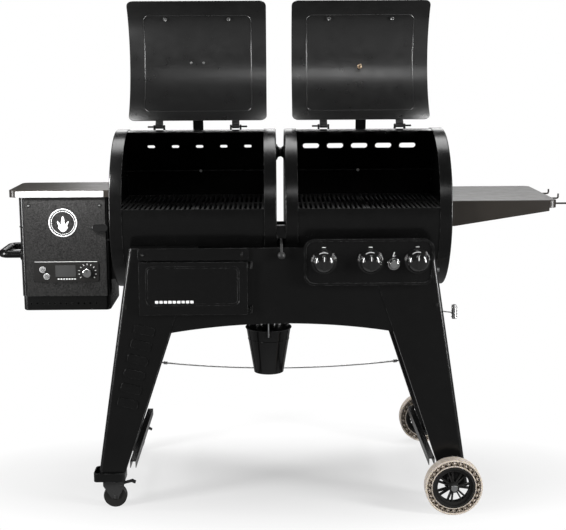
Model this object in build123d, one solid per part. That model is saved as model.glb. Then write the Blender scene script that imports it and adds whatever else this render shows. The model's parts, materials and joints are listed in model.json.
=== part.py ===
"""Two-drum outdoor cooker on wheels: a pellet smoker on the left, a gas grill on the right.

Millimetres. +X is the user's right, +Y points away from the user, +Z is up.
The origin is on the floor, in the middle of the whole footprint.
"""
from build123d import *
import math
import os

os.makedirs("parts", exist_ok=True)

# ---------------------------------------------------------------- driving dimensions
SHEET = 2.0                 # wall of every pressed sheet part
FIT = 0.05                  # radial running clearance of a shaft in its hole
AIR = 0.5                   # gap beside curved or swinging faces

DRUM_Z = 974.0              # height of both drum axes
DRUM_R = 270.0              # outside radius of the rolled end bands
DRUM_IN = 14.0              # drum end nearest the middle
DRUM_OUT = 558.0            # drum end furthest from the middle
BAND = 41.0                 # width of an end band
SHELL_R = DRUM_R - SHEET - 0.4
SHELL_BORE = SHELL_R - SHEET
DRUM_MID = (DRUM_IN + DRUM_OUT) / 2

# Angles round a drum start straight ahead, at the user, and climb over the top.
OPEN_LOW = 6.0              # lower lip of the cooking opening
OPEN_TOP = 80.0             # upper lip
LID_LOW = 3.5
LID_TOP = 101.0
LID_WIDTH = 483.0
LID_BORE = DRUM_R + 1.0
LID_R = LID_BORE + SHEET
HINGE_ANGLE = 105.0
HINGE_R = 284.0
LID_TRAVEL = 131.0          # from standing open to shut
HINGE_PIN_R = 3.0
HINGE_OFFSET = 133.0        # each lid hinge from the drum's middle
HANDLE_ANGLE = 19.0
HANDLE_STUD = 111.0         # each handle stud from the drum's middle
THERMO_ANGLE = 56.0
STEM_R = 3.5

FRAME_Y = 312.0             # front face of the front legs
LEG_DEPTH = 56.0
LEG_OUTER = (500.0, 840.0, 0.156)   # X of an edge, the height it is taken at, its slope
LEG_INNER = (315.0, 750.0, 0.334)
APRON_TOP = 881.0
APRON_FOOT = 602.0
ARCH_RISE = 29.0
ARCH_HALF = 361.0

WHEEL_R = 94.3
WHEEL_X = 560.0
WHEEL_Y = 375.0
TYRE_W = 40.0
RIM_R = 70.0
AXLE_R = 6.0

CASTER_R = 39.0
CASTER_X = -577.0
CASTER_Y = 282.0
CASTER_TRAIL = 15.0
FOOT_Z = 98.0               # underside of a caster's foot cap

BURNER_X = (136.0, 286.0, 437.0)
BURNER_Z = 838.0
PIPE_Y = -238.0             # gas supply pipe
PIPE_Z = 792.0
INLET_R = 7.9
BEZEL = (72.0, 490.0, 760.0, 910.0)
BEZEL_FACE = -(FRAME_Y + 20.0)

DOOR = (-460.0, -110.0, 666.0, 839.0)
DOOR_FACE = -(FRAME_Y + 18.0)
DOOR_PIN = (-98.0, -(FRAME_Y + 10.0))
DOOR_LUGS = (674.0, 820.0)  # heights of the two door hinges
DOOR_PIN_R = 2.0
BOX_WALL = (-450.0, -120.0, 674.0, 831.0)

BIN = (-880.0, -577.0, -122.0, 120.0)        # hopper walls, X then Y
BIN_FLOOR = 690.0
BIN_TOP = 1028.0
HOPPER_FACE = -125.0
LID_X = (-909.0, -576.0)
PANEL = (-836.0, -617.0, 740.0, 811.0)
PANEL_FACE = -128.0
DIAL = (-655.0, 771.0)
BUTTONS = {"power_button": (-806.0, 782.0), "prime_button": (-793.0, 759.0)}

AUGER_Z = 775.0
POT_X = -400.0

SHELF_Z = 1019.0
SHELF = (563.0, 908.0, -226.0, 210.0)
REACH = 966.0               # furthest point left and right

BUCKET = (-44.0, 0.0)
BUCKET_RIM = 551.0
BUCKET_BASE = 388.0
HOOK_Z = 668.0
HOOK_R = 2.5
HOOK_REACH = 8.0
BAIL_R = 2.5
BAIL_Z = HOOK_Z - HOOK_REACH + HOOK_R + BAIL_R + 0.2    # the bail's top run, in the hook
EAR_Z = 537.0
BEAD_Z = 508.0
IGNITER = (361.0, 829.0)
SPOUT_X = -45.0
SPOUT_R = 11.0


# ---------------------------------------------------------------- helpers
def block(x0, x1, y0, y1, z0, z1):
    """A box between two opposite corners."""
    return Pos((x0 + x1) / 2, (y0 + y1) / 2, (z0 + z1) / 2) * Box(x1 - x0, y1 - y0, z1 - z0)


def rod(start, end, radius):
    """A round bar between two points."""
    start, end = Vector(*start), Vector(*end)
    run = end - start
    return extrude(Plane(origin=start, z_dir=run) * Circle(radius), run.length)


def ball(centre, radius):
    return Pos(*centre) * Sphere(radius)


def along_x(profile, x0, x1):
    """Extrude a profile drawn in (Y, Z) from x0 to x1."""
    return extrude(Plane((x0, 0, 0), x_dir=(0, 1, 0), z_dir=(1, 0, 0)) * profile, x1 - x0, dir=(1, 0, 0))


def along_y(profile, y0, y1):
    """Extrude a profile drawn in (X, Z) from y0 to y1."""
    plane = Plane((0, y1, 0), x_dir=(1, 0, 0), z_dir=(0, -1, 0))
    return extrude(plane * profile, y1 - y0, dir=(0, -1, 0))


def along_z(profile, z0, z1):
    """Extrude a profile drawn in (X, Y) from z0 to z1."""
    return extrude(Plane((0, 0, z0)) * profile, z1 - z0, dir=(0, 0, 1))


def outline(*points):
    return Polygon(*points, align=None)


def rounded(x0, x1, z0, z1, radius):
    """A rounded rectangle between two corners of its own plane."""
    return Pos((x0 + x1) / 2, (z0 + z1) / 2) * RectangleRounded(x1 - x0, z1 - z0, radius)


def on_drum(angle, radius):
    """(Y, Z) of a point at a drum angle."""
    turn = math.radians(angle)
    return (-radius * math.cos(turn), DRUM_Z + radius * math.sin(turn))


def curved_sheet(r_in, r_out, a0, a1, x0, x1):
    """A strip of a tube round the drum axis, between two drum angles."""
    mid = (a0 + a1) / 2
    outer = ThreePointArc(on_drum(a0, r_out), on_drum(mid, r_out), on_drum(a1, r_out))
    inner = ThreePointArc(on_drum(a1, r_in), on_drum(mid, r_in), on_drum(a0, r_in))
    sides = [Line(outer @ 1, inner @ 0), Line(inner @ 1, outer @ 0)]
    return along_x(make_face([outer, inner] + sides), x0, x1)


def drum_slug(radius, x0, x1):
    """A solid cylinder on the drum axis, for cutting neighbours to the drum."""
    return along_x(Pos(0, DRUM_Z) * Circle(radius), x0, x1)


def to_left(shape):
    return mirror(shape, about=Plane.YZ)


def to_back(shape):
    return mirror(shape, about=Plane.XZ)


def joined(shapes):
    """One compound of separate solids."""
    solids = [solid for shape in shapes for solid in shape.solids()]
    return Compound(children=solids)


def save(node, shape):
    export_step(shape, f"parts/{node}.step")


# ---------------------------------------------------------------- drums
def drum_shell(slot_w, slot_h, slot_pitch):
    """The rolled sheet of one drum on the right: opening, exhaust slots, grate ledges."""
    x0, x1 = DRUM_IN + SHEET, DRUM_OUT - SHEET
    shell = curved_sheet(SHELL_BORE, SHELL_R, OPEN_TOP, 360 + OPEN_LOW, x0, x1)
    for side in (-1, 1):
        near, far = sorted((side * 240.0, side * (SHELL_BORE + 1)))
        shell += block(x0, x1, near, far, 976, 978)
    shell += block(x0, x1, 228, math.sqrt(SHELL_BORE**2 - 106.0**2) + 1, 1079, 1081)
    for step in range(-2, 3):
        slot = Pos(DRUM_MID + step * slot_pitch, 1172) * SlotOverall(slot_w, slot_h)
        shell -= along_y(slot, 140, 240)
    return shell


def drum_end(x_face, inward):
    """A pressed end: a disc with a wide rolled band that the shell slides into."""
    x_in = x_face + inward * SHEET
    x_rim = x_face + inward * BAND
    disc = drum_slug(DRUM_R, *sorted((x_face, x_rim)))
    rim_edge = disc.edges().group_by(Axis.X)[0 if inward > 0 else -1]
    disc = fillet(rim_edge, 5)
    return disc - drum_slug(SHELL_R + 0.4, *sorted((x_in, x_rim + inward)))


def drum_ends():
    outer = drum_end(DRUM_OUT, -1)
    inner = drum_end(DRUM_IN, 1)
    left_outer = to_left(outer) - rod((-DRUM_OUT - 1, 0, AUGER_Z), (-DRUM_OUT + 5, 0, AUGER_Z), 30.5)
    slide_slot = block(-DRUM_IN - 4, -DRUM_IN + 1, -196, -94, 883, 900)
    left_inner = to_left(inner) - slide_slot
    x, y = BUCKET
    for reach, radius in ((SPOUT_X, SPOUT_R + 0.4), (-HOOK_REACH, HOOK_R + 0.4)):
        left_inner -= Pos(x + reach, y, 0) * along_z(Circle(radius), 690, 720)
    return joined([left_outer, left_inner, inner, outer])


def smoker_drum():
    """The smoker's shell, with its grease spout and bucket hook welded underneath."""
    shell = to_left(drum_shell(26, 10, 86.5))
    x, y = BUCKET
    spout = Pos(x + SPOUT_X, y, 0) * along_z(Circle(SPOUT_R), 640, 712)
    drain = Pos(x + SPOUT_X, y, 0) * along_z(Circle(SPOUT_R - SHEET), 630, 730)
    bottom = DRUM_Z - SHELL_R
    shank = rod((x - HOOK_REACH, y, HOOK_Z), (x - HOOK_REACH, y, bottom + 1), HOOK_R)
    bend = Pos(x, y, HOOK_Z) * Rot(90, 0, 0) * Torus(HOOK_REACH, HOOK_R)
    bend -= block(x - 20, x + 20, y - 9, y + 9, HOOK_Z, HOOK_Z + 20)
    tip = rod((x + HOOK_REACH, y, HOOK_Z), (x + HOOK_REACH, y, HOOK_Z + 7), HOOK_R)
    return shell + (spout - drum_slug(SHELL_BORE + 1, x + SPOUT_X - 20, x + SPOUT_X + 20)) + shank + bend + tip - drain


def gas_drum():
    shell = drum_shell(58, 18, 86.5)
    for x in BURNER_X:
        shell -= rod((x, -270, BURNER_Z), (x, -180, BURNER_Z), 16)
    return shell


def grate(x0, x1):
    """One cast-iron cooking grate: a frame with long slots between its bars."""
    y0, y1, z0, z1 = -256.0, 256.0, 978.0, 990.0
    frame = block(x0, x1, y0, y1, z0, z1)
    bars = 15
    pitch = (x1 - x0 - 14) / bars
    slot = Rectangle(pitch - 7, (y1 - y0) / 2 - 16)
    slots = Sketch() + [
        Pos(x0 + 7 + pitch * (i + 0.5), side * (y1 - y0) / 4) * slot
        for i in range(bars) for side in (-1, 1)
    ]
    return frame - along_z(slots, z0 - 1, z1 + 1)


def grates():
    half = DRUM_IN + SHEET + 3, DRUM_MID - 1.5, DRUM_OUT - SHEET - 3
    return joined([grate(half[0], half[1]), grate(half[1] + 3, half[2])])


def drum_saddles():
    """Four cross plates, cut to the drums, that carry them between the aprons."""
    y = FRAME_Y - 2 * SHEET
    plates = []
    for x in (-482, -70, 70, 482):
        plate = block(x - 1.5, x + 1.5, -y, y, 680, 800)
        plate -= rod((x - 3, PIPE_Y, PIPE_Z), (x + 3, PIPE_Y, PIPE_Z), 11)
        plates.append(plate - drum_slug(DRUM_R + 0.2, x - 3, x + 3))
    return joined(plates)


def barrel_spacers():
    """The waisted spacer and the flat bridge that hold the two drums apart."""
    x = DRUM_IN
    profile = make_face([
        Line((0, -x), (26, -x)), Line((26, -x), (26, -x + 4)),
        ThreePointArc((26, -x + 4), (15, 0), (26, x - 4)),
        Line((26, x - 4), (26, x)), Line((26, x), (0, x)), Line((0, x), (0, -x)),
    ])
    spool = Pos(0, -120, 1174) * Rot(0, 90, 0) * revolve(Plane.XZ * profile, Axis.Z)
    bridge = block(-x, x, -262, -236, 904, 946)
    return joined([spool, bridge])


# ---------------------------------------------------------------- lids and their hinges
HINGE_Y, HINGE_Z = on_drum(HINGE_ANGLE, HINGE_R)


def opened(shape):
    """Swing a lid part, drawn shut, back to where it stands open."""
    pin = Axis((0, HINGE_Y, HINGE_Z), (1, 0, 0))
    return shape.rotate(pin, -LID_TRAVEL)


def lid():
    """One lid on the right drum, drawn shut, with its two hinge knuckles."""
    half = LID_WIDTH / 2
    shell = curved_sheet(LID_BORE, LID_R, LID_LOW, LID_TOP, DRUM_MID - half, DRUM_MID + half)
    corners = shell.edges().filter_by(lambda e: e.length < 2 * SHEET)
    shell = fillet(corners, 24)
    for side in (-1, 1):
        x = DRUM_MID + side * HINGE_OFFSET
        knuckle = rod((x - 13, HINGE_Y, HINGE_Z), (x + 13, HINGE_Y, HINGE_Z), 6.5)
        strap = curved_sheet(LID_R, LID_R + 3, 92, HINGE_ANGLE - 1, x - 13, x + 13)
        web = along_x(outline(on_drum(102, LID_R + 1), on_drum(102, LID_R + 8),
                              on_drum(105.5, HINGE_R), on_drum(105, LID_R + 1)), x - 13, x + 13)
        bore = rod((x - 14, HINGE_Y, HINGE_Z), (x + 14, HINGE_Y, HINGE_Z), HINGE_PIN_R + FIT)
        shell = shell + knuckle + strap + web - bore
    for side in (-1, 1):
        hole = rod((DRUM_MID + side * HANDLE_STUD, *on_drum(HANDLE_ANGLE, LID_BORE - 9)),
                   (DRUM_MID + side * HANDLE_STUD, *on_drum(HANDLE_ANGLE, LID_R + 9)), 4.2)
        shell -= hole
    return shell


def lid_handle():
    """A round bar on two studs, drawn shut."""
    bar_r = LID_R + 52
    y, z = on_drum(HANDLE_ANGLE, bar_r)
    handle = rod((DRUM_MID - 165, y, z), (DRUM_MID + 165, y, z), 13)
    for side in (-1, 1):
        x = DRUM_MID + side * HANDLE_STUD
        def at(radius):
            return (x, *on_drum(HANDLE_ANGLE, radius))
        handle += rod(at(LID_R + 0.6), at(bar_r), 9) + rod(at(LID_BORE - 1), at(bar_r), 4)
        handle += rod(at(LID_BORE - 5), at(LID_BORE - 0.6), 8)
    return handle


def thermometer():
    """Dial outside the gas lid, stem and nut inside it."""
    def at(radius):
        return (DRUM_MID, *on_drum(THERMO_ANGLE, radius))
    dial = rod(at(LID_R + 2), at(LID_R + 16), 38)
    neck = rod(at(LID_R + 0.6), at(LID_R + 4), 12)
    nut = extrude(Plane(origin=Vector(*at(LID_BORE - 8)), z_dir=Vector(*at(LID_R)) - Vector(*at(0)))
                  * RegularPolygon(9, 6), 7.4)
    return dial + neck + rod(at(LID_BORE - 60), at(LID_R + 4), STEM_R) + nut


def hinge_leaves():
    """Fixed half of the lid hinges: eyes and pins on the drum tops, and a stop for each lid."""
    leaves = []
    foot_r = SHELL_R + 0.1
    for drum in (-1, 1):
        for side in (-1, 1):
            x = drum * DRUM_MID + side * HINGE_OFFSET
            pin = rod((x - side * 20, HINGE_Y, HINGE_Z), (x + side * 40, HINGE_Y, HINGE_Z), HINGE_PIN_R)
            leaf = pin
            for eye in (-20, 14):
                x0 = x + eye
                leaf += rod((x0, HINGE_Y, HINGE_Z), (x0 + 6, HINGE_Y, HINGE_Z), 6.5)
                leaf += along_x(outline(on_drum(103.2, foot_r), on_drum(104, HINGE_R - 2),
                                        on_drum(106, HINGE_R - 2), on_drum(112, foot_r + 3),
                                        on_drum(112, foot_r)), x0, x0 + 6)
            leaves.append(leaf + curved_sheet(foot_r, foot_r + 3, 103.2, 116, x - 20, x + 20))
    for drum in (-1, 1):
        x = drum * DRUM_MID
        stop = curved_sheet(foot_r, foot_r + 3, 103.5, 120, x - 18, x + 18)
        y0, z0 = on_drum(118, foot_r + 1)
        lean = outline((y0 - 7, z0), (y0, z0), (HINGE_Y + 38, HINGE_Z + 34), (HINGE_Y + 34, HINGE_Z + 36))
        leaves.append(stop + along_x(lean, x - 18, x + 18))
    clear = drum_slug(foot_r, -DRUM_OUT, DRUM_OUT)
    return joined([leaf - clear for leaf in leaves])


# ---------------------------------------------------------------- stand
def leg_edge(line, z):
    """X of a leg's sloping edge at height z."""
    x, at_z, slope = line
    return x + slope * (at_z - z)


def leg(bottom, foot_cap):
    """The front right leg: a tapered channel of bent sheet, open at the back."""
    front, back = -FRAME_Y, -FRAME_Y + LEG_DEPTH

    def prism(inset, y0, y1, bend):
        face = outline(
            (leg_edge(LEG_OUTER, APRON_TOP) - inset, APRON_TOP - inset),
            (leg_edge(LEG_OUTER, bottom) - inset, bottom + inset),
            (leg_edge(LEG_INNER, bottom) + inset, bottom + inset),
            (leg_edge(LEG_INNER, APRON_TOP) + inset, APRON_TOP - inset))
        solid = along_y(face, y0, y1)
        long_edges = solid.edges().filter_by(
            lambda e: abs((e @ 0).Y - y0) < 0.1 and abs((e @ 1).Y - y0) < 0.1
            and abs((e @ 0).Z - (e @ 1).Z) > 100)
        return fillet(long_edges.sort_by(Axis.X)[-1], bend)

    channel = prism(0, front, back, 14) - prism(SHEET, front + SHEET, back + 1, 12)
    if foot_cap:
        x, y = -CASTER_X, -CASTER_Y
        cap = block(x - 52, x + 52, y - 40, y + 40, FOOT_Z, FOOT_Z + 29)
        cap = fillet(cap.edges().filter_by(Axis.Z), 14)
        well = block(x - 50, x + 50, y - 38, y + 38, FOOT_Z + 6, FOOT_Z + 40)
        well = fillet(well.edges().filter_by(Axis.Z), 12)
        channel = channel + (cap - well)
        channel -= rod((x, y, FOOT_Z - 1), (x, y, FOOT_Z + 12), 5 + FIT)
    return channel


def apron():
    """The front apron: one sheet with an arched lower edge, between the two front legs."""
    sag = (ARCH_HALF**2 + ARCH_RISE**2) / (2 * ARCH_RISE)
    wide = 515.0
    drop = APRON_FOOT + ARCH_RISE - (sag - math.sqrt(sag**2 - wide**2))
    face = outline((-490, APRON_TOP), (490, APRON_TOP), (wide, drop), (-wide, drop))
    under = Pos(0, APRON_FOOT + ARCH_RISE - sag) * Circle(sag)
    return along_y(face, -FRAME_Y + SHEET, -FRAME_Y + 2 * SHEET) - along_y(under, -FRAME_Y - 5, -FRAME_Y + 10)


def door_lugs():
    """Two welded lugs with a standing pin each, for the storage door."""
    x, y = DOOR_PIN
    lugs = []
    for z in DOOR_LUGS:
        pin = rod((x, y, z - 4), (x, y, z + 16), DOOR_PIN_R)
        back = -FRAME_Y + SHEET + 0.5
        arms = [block(x - 3.5, x + 3.5, y - 4, back, low, low + 3) for low in (z - 4, z + 13)]
        lugs.append(pin + arms)
    return lugs


def front_apron():
    x0, x1, z0, z1 = BOX_WALL
    sheet = apron()
    for lug in door_lugs():
        sheet += lug
    return stem_holes(sheet) - block(x0 - AIR, x1 + AIR, -FRAME_Y + 1.9, -FRAME_Y + 10, z0 - AIR, z1 + AIR)


def storage_window(shape):
    """Clear a leg for the storage box, so that the door can cover the leg."""
    x0, x1, z0, z1 = BOX_WALL
    return shape - block(x0 - AIR, x1, -FRAME_Y - 5, -FRAME_Y + 80, z0 - AIR, z1 + AIR)


def side_rails():
    """Two channels, open downwards, between front and rear legs near the floor."""
    y = FRAME_Y - LEG_DEPTH + 40
    rail = block(489, 509, -y, y, 138, 162) - block(491, 507, -y - 1, y + 1, 137, 160)
    return joined([rail, to_left(rail)])


def tie_rod():
    """A bowed steel rod between the rear legs, with a collar at each end."""
    y = 282.0
    left, mid, right = (-448.7, 347.0), (0.0, 322.5), (448.7, 347.0)
    path = Plane((0, y, 0), x_dir=(1, 0, 0), z_dir=(0, -1, 0)) * ThreePointArc(left, mid, right)
    bar = sweep(Plane(origin=path @ 0, z_dir=path % 0) * Circle(3), path)
    collars = [rod((side * 429, y, 345.0), (side * 443, y, 346.4), 6) for side in (-1, 1)]
    return bar + collars


def bolts_and_screws():
    """Screw heads on the panels, and the shoulder bolts and spacers of the big wheels."""
    heads = []
    for x in (-448, -128, -300):
        back = -FRAME_Y if x < -299 else -FRAME_Y + SHEET
        heads.append(rod((x, -FRAME_Y - 3, 862), (x, back, 862), 6))
    for x in (-845, -608):
        heads.append(rod((x, HOPPER_FACE - 2, 1000), (x, HOPPER_FACE, 1000), 4.5))
    for drum in (-1, 1):
        heads.append(rod((drum * DRUM_MID, 222, 1080), (drum * DRUM_MID, 228, 1080), 5))
    outer = WHEEL_Y + TYRE_W / 2
    bolt = rod((WHEEL_X, -outer - 2, WHEEL_R), (WHEEL_X, -FRAME_Y + 8, WHEEL_R), AXLE_R)
    bolt += rod((WHEEL_X, -outer - 7, WHEEL_R), (WHEEL_X, -outer - 1.5, WHEEL_R), 11)
    bolt += rod((WHEEL_X, -outer + TYRE_W + 1, WHEEL_R), (WHEEL_X, -FRAME_Y - 0.1, WHEEL_R), 10)
    bolt += rod((WHEEL_X, -FRAME_Y + SHEET + 0.1, WHEEL_R), (WHEEL_X, -FRAME_Y + 8, WHEEL_R), 10)
    return joined(heads + [bolt, to_back(bolt)])


# ---------------------------------------------------------------- front storage
def storage_box():
    """The bin behind the door; its back slopes to clear the drum."""
    x0, x1, z0, z1 = BOX_WALL
    front = -FRAME_Y
    side = outline((front, z0), (front, z1), (-247, z1), (-150, 735), (-150, z0))
    inside = outline((front - 1, z0 + SHEET), (front - 1, z1 - SHEET), (-248, z1 - SHEET),
                     (-152, 735), (-152, z0 + SHEET))
    return along_x(side, x0, x1) - along_x(inside, x0 + SHEET, x1 - SHEET)


def storage_door():
    """Pressed tray door with a groove round its face and two hinge straps."""
    x0, x1, z0, z1 = DOOR
    back = -FRAME_Y - 1.5
    door = along_y(rounded(x0, x1, z0, z1, 3), DOOR_FACE, back)
    door -= along_y(rounded(x0 + SHEET, x1 - SHEET, z0 + SHEET, z1 - SHEET, 2), DOOR_FACE + 2.5, back + 1)
    groove = rounded(-438, -137, 697, 825, 18) - rounded(-432, -143, 703, 819, 13)
    door -= along_y(groove, DOOR_FACE - 1, DOOR_FACE + 1)
    x, y = DOOR_PIN
    for z in DOOR_LUGS:
        low, high = z - 0.5, z + 12.5
        door += Pos(x, y, 0) * along_z(Circle(4.5), low, high)
        door += block(x1 - 1, x, y - 1.5, y + 1.5, low, high)
        door -= Pos(x, y, 0) * along_z(Circle(DOOR_PIN_R + FIT), low - 1, high + 1)
    return door


# ---------------------------------------------------------------- gas side
def gas_bezel():
    """A shallow pressed cover with a raised rim, over the valves."""
    x0, x1, z0, z1 = BEZEL
    back = -FRAME_Y
    cover = along_y(rounded(x0, x1, z0, z1, 34), BEZEL_FACE, back)
    cover -= along_y(rounded(x0 + 7, x1 - 7, z0 + 7, z1 - 7, 28), BEZEL_FACE - 1, BEZEL_FACE + 4)
    cover -= along_y(rounded(x0 + 2.5, x1 - 2.5, z0 + 2.5, z1 - 2.5, 31), BEZEL_FACE + 6.5, back + 1)
    for x in BURNER_X:
        cover -= rod((x, BEZEL_FACE - 1, BURNER_Z), (x, back + 1, BURNER_Z), 5 + FIT)
    x, z = IGNITER
    cover -= rod((x, BEZEL_FACE - 1, z), (x, back + 1, z), 9 + FIT)
    return cover


def burner_knob(x):
    """A domed knob on a short stem, with a flange at its foot."""
    face = BEZEL_FACE + 4
    foot, crown = face - 1.0, face - 37.0
    dome = along_y(Pos(x, BURNER_Z) * Circle(36), crown, foot)
    dome = fillet(dome.edges().group_by(Axis.Y)[0], 24)
    dome += along_y(Pos(x, BURNER_Z) * Circle(38.5), foot - 4, foot)
    dome += block(x - 5, x + 5, crown - 3, crown + 10, BURNER_Z - 24, BURNER_Z + 24)
    return dome + rod((x, foot, BURNER_Z), (x, -FRAME_Y + 10, BURNER_Z), 5)


def igniter_button():
    """A push cap on a plunger that stops short of the leg behind it."""
    x, z = IGNITER
    face = BEZEL_FACE + 4
    cap = along_y(Pos(x, z) * Circle(14), face - 12, face - 5)
    cap = fillet(cap.edges().group_by(Axis.Y)[0], 3)
    return cap + rod((x, face - 6, z), (x, -FRAME_Y - 5, z), 9)


def gas_manifold():
    """The supply pipe under the burners, with one valve for each and an inlet stub on the right."""
    pipe = rod((110, PIPE_Y, PIPE_Z), (490, PIPE_Y, PIPE_Z), 9)
    pipe += rod((489, PIPE_Y, PIPE_Z), (520, PIPE_Y, PIPE_Z), INLET_R)
    for x in BURNER_X:
        pipe += block(x - 9, x + 9, PIPE_Y - 9, PIPE_Y, PIPE_Z, BURNER_Z + 9)
        pipe += rod((x, PIPE_Y - 1, BURNER_Z), (x, PIPE_Y + 9, BURNER_Z), 5)
        pipe += rod((x, -FRAME_Y + 14, BURNER_Z), (x, PIPE_Y - 8, BURNER_Z), 4)
    return pipe


def stem_holes(shape):
    """Clear the valve stems through a sheet or a leg."""
    for x in BURNER_X:
        shape -= rod((x, -FRAME_Y - 1, BURNER_Z), (x, -FRAME_Y + 70, BURNER_Z), 8)
    return shape


def burner_tubes():
    """Three long burners, closed at the back, fed at the front."""
    tubes = []
    for x in BURNER_X:
        tube = rod((x, -235, BURNER_Z), (x, 205, BURNER_Z), 14)
        tubes.append(tube - rod((x, -236, BURNER_Z), (x, 203, BURNER_Z), 12))
    return joined(tubes)


def heat_tents():
    """Folded covers over the burners."""
    tents = []
    for x in BURNER_X:
        roof = outline((x - 48, 868), (x, 896), (x + 48, 868), (x + 46, 866), (x, 893), (x - 46, 866))
        tents.append(along_y(roof, -225, 225))
    rail = [block(BURNER_X[0] - 60, BURNER_X[2] + 60, y, y + 3, 852, 866) for y in (-222, 219)]
    return joined(tents + rail)


# ---------------------------------------------------------------- pellet side
def hopper_body():
    """Four walls, a sloping pellet floor, and the neck that joins it to the drum."""
    x0, x1, y0, y1 = BIN
    walls = block(x0, x1, y0, y1, BIN_FLOOR, BIN_TOP)
    walls = fillet(walls.edges().filter_by(Axis.Z), 18)
    inner = block(x0 + SHEET, x1 - SHEET, y0 + SHEET, y1 - SHEET, BIN_FLOOR - 1, BIN_TOP + 1)
    inner = fillet(inner.edges().filter_by(Axis.Z), 16)
    walls -= inner
    slope = outline((x0 + 1, 930), (-650, 822), (-650, 819), (x0 + 1, 927))
    floor = along_y(slope, y0 + 1, y1 - 1)
    chute = block(-652, -649, y0 + 1, y1 - 1, 806, 822)
    shelf = block(-592, x1 - 1, y0 + 1, y1 - 1, 880, 883)
    throat = block(-592, -589, y0 + 1, y1 - 1, 806, 883)
    body = walls + floor + chute + shelf + throat
    neck = block(x1 - 1, -DRUM_OUT - 0.2, -95, 95, 742, 1000)
    neck -= block(x1 - 3, -DRUM_OUT + 1, -92, 92, 745, 997)
    body = body + neck - rod((-660, 0, AUGER_Z), (-540, 0, AUGER_Z), 30.5)
    for x, z in BUTTONS.values():
        body -= rod((x, y0 - 1, z), (x, y0 + 4, z), 10)
    body -= rod((DIAL[0], y0 - 1, DIAL[1]), (DIAL[0], y0 + 4, DIAL[1]), 6)
    for x in (-830, -640):
        pin = rod((x - 14, y1 + 6, 1032), (x + 14, y1 + 6, 1032), 2.5)
        body += pin
        for side in (-1, 1):
            xa = x + side * 12
            lug = rod((xa - 2, y1 + 6, 1032), (xa + 2, y1 + 6, 1032), 5)
            body += lug + block(xa - 2, xa + 2, y1 - 0.5, y1 + 11, 1012, 1026) + block(
                xa - 2, xa + 2, y1 + 1.2, y1 + 11, 1020, 1032)
    return body


def hopper_front_panel():
    """The textured cover on the front of the hopper."""
    x0, x1 = -862.0, -590.0
    panel = along_y(rounded(x0, x1, BIN_FLOOR, BIN_TOP, 2), HOPPER_FACE, BIN[2])
    for x, z in BUTTONS.values():
        panel -= rod((x, -130, z), (x, -120, z), 10)
    return panel - rod((DIAL[0], -130, DIAL[1]), (DIAL[0], -120, DIAL[1]), 6)


def hopper_base_pan():
    """The lower tray for the fan and wiring, with air holes along its front."""
    pan = block(-877, -580, -122, 118, 640, BIN_FLOOR)
    pan = fillet(pan.edges().filter_by(Axis.Z), 18)
    pan = fillet(pan.faces().sort_by(Axis.Z)[0].edges(), 6)
    well = block(-875, -582, -120, 116, 642, BIN_FLOOR + 1)
    pan -= fillet(well.edges().filter_by(Axis.Z), 16)
    for i in range(12):
        pan -= rod((-850 + i * 20.0, -125, 664), (-850 + i * 20.0, -115, 664), 3)
    pan += rod((-780, 0, 641), (-780, 0, 668), 3)
    return pan


def hopper_lid():
    """A shallow cap on the hopper, with two knuckles along its back."""
    x0, x1 = LID_X
    y0, y1 = -136.0, BIN[3]
    cap = block(x0, x1, y0, y1, BIN_TOP + 0.5, BIN_TOP + 24)
    left = cap.edges().filter_by(Axis.Z).sort_by(Axis.X)[:2]
    cap = fillet(left, 22)
    well = block(x0 + 3, x1 - 3, y0 + 3, y1 - 3, BIN_TOP, BIN_TOP + 21)
    well = fillet(well.edges().filter_by(Axis.Z).sort_by(Axis.X)[:2], 19)
    cap -= well
    for x in (-830, -640):
        web = block(x - 9.5, x + 9.5, y1 - 1, y1 + 6, BIN_TOP + 1, BIN_TOP + 8)
        knuckle = rod((x - 9.5, y1 + 6, 1032), (x + 9.5, y1 + 6, 1032), 5)
        cap = cap + web + knuckle - rod((x - 10, y1 + 6, 1032), (x + 10, y1 + 6, 1032), 2.5 + FIT)
    return cap


def hopper_handle():
    """The tubular pull handle on the left wall."""
    x, z, r = BIN[0], 830.0, 13.0
    path = FilletPolyline((x, -88, z), (-REACH + r, -88, z), (-REACH + r, 88, z), (x, 88, z), radius=26)
    tube = sweep(Plane(origin=path @ 0, z_dir=path % 0) * Circle(r), path)
    flanges = [rod((x - 4, side * 88, z), (x, side * 88, z), 20) for side in (-1, 1)]
    return tube + flanges


def control_panel():
    """The controller's face plate, with holes for its dial and buttons."""
    x0, x1, z0, z1 = PANEL
    plate = along_y(rounded(x0, x1, z0, z1, 8), PANEL_FACE, HOPPER_FACE)
    for x, z in BUTTONS.values():
        plate -= rod((x, -130, z), (x, -120, z), 8 + FIT)
    return plate - rod((DIAL[0], -130, DIAL[1]), (DIAL[0], -120, DIAL[1]), 3 + FIT)


def dial_knob():
    x, z = DIAL
    cap = along_y(Pos(x, z) * Circle(15), PANEL_FACE - 14, PANEL_FACE - 0.5)
    cap = fillet(cap.edges().group_by(Axis.Y)[0], 3)
    return cap + rod((x, PANEL_FACE - 1, z), (x, PANEL_FACE + 12, z), 3)


def panel_button(centre):
    x, z = centre
    button = rod((x, PANEL_FACE - 3, z), (x, PANEL_FACE + 9, z), 8)
    return fillet(button.edges().group_by(Axis.Y)[0], 1)


def auger():
    """Pellet screw: a shaft with a helical flight."""
    x0, x1, pitch, turns = -655.0, -458.0, 36.0, 5
    shaft = rod((-664, 0, AUGER_Z), (x1, 0, AUGER_Z), 7)
    flight = [
        Pos(x0 + 10 + pitch * i, 0, AUGER_Z) * Rot(0, 76, 0) * Cylinder(24, 3)
        for i in range(turns + 1)
    ]
    for blade in flight:
        shaft += blade
    return shaft


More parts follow.
